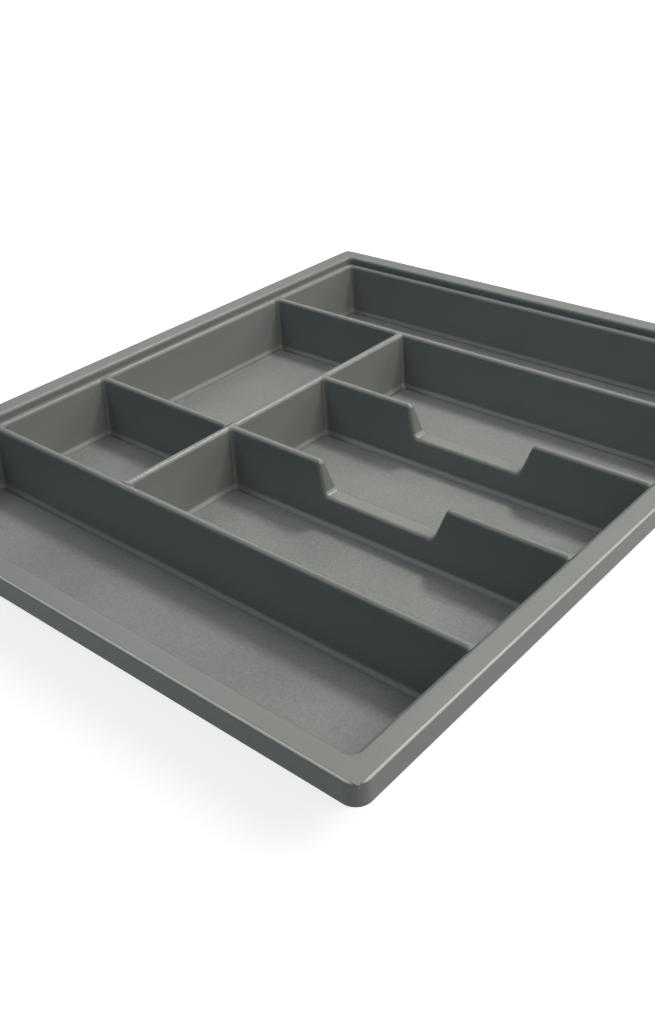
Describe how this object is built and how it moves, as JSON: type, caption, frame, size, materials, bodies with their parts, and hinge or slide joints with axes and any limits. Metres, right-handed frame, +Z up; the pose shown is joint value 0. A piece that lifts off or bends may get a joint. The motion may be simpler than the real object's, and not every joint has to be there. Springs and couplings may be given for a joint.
{
  "type": "cutlery tray",
  "caption": "Grey plastic drawer tray for cutlery, with long and short compartments between wedge-shaped dividers, finger notches and a flanged rim with a turned-down skirt.",
  "frame": {"origin": "centre of the underside, on the surface that the tray stands on", "axes": "+X to the right along the longer side, +Y to the back along the long compartments, +Z up"},
  "size_m": [0.47, 0.39, 0.0455],
  "materials": {
    "body": "fine satin grain",
    "liner": "coarser matt grain"
  },
  "bodies": {
    "tray": {"tray_pan": "body", "rim_frame": "body", "left_long_divider": "body", "right_long_divider": "body", "left_long_liner": "liner", "right_long_liner": "liner", "back_left_liner": "liner", "back_right_liner": "liner", "front_left_liner": "liner", "front_middle_liner": "liner", "front_right_liner": "liner"},
    "cross": {"cross_divider": "body"},
    "short": {"short_divider": "body"},
    "left_notched": {"left_notched_divider": "body"},
    "right_notched": {"right_notched_divider": "body"}
  },
  "joints": [
    {"name": "cross_lift", "type": "slide", "parent": "tray", "child": "cross", "axis": [0, 0, 1], "range_m": [0, 0.05]},
    {"name": "short_lift", "type": "slide", "parent": "cross", "child": "short", "axis": [0, 0, 1], "range_m": [0, 0.05]},
    {"name": "left_notched_lift", "type": "slide", "parent": "cross", "child": "left_notched", "axis": [0, 0, 1], "range_m": [0, 0.05]},
    {"name": "right_notched_lift", "type": "slide", "parent": "cross", "child": "right_notched", "axis": [0, 0, 1], "range_m": [0, 0.05]}
  ]
}
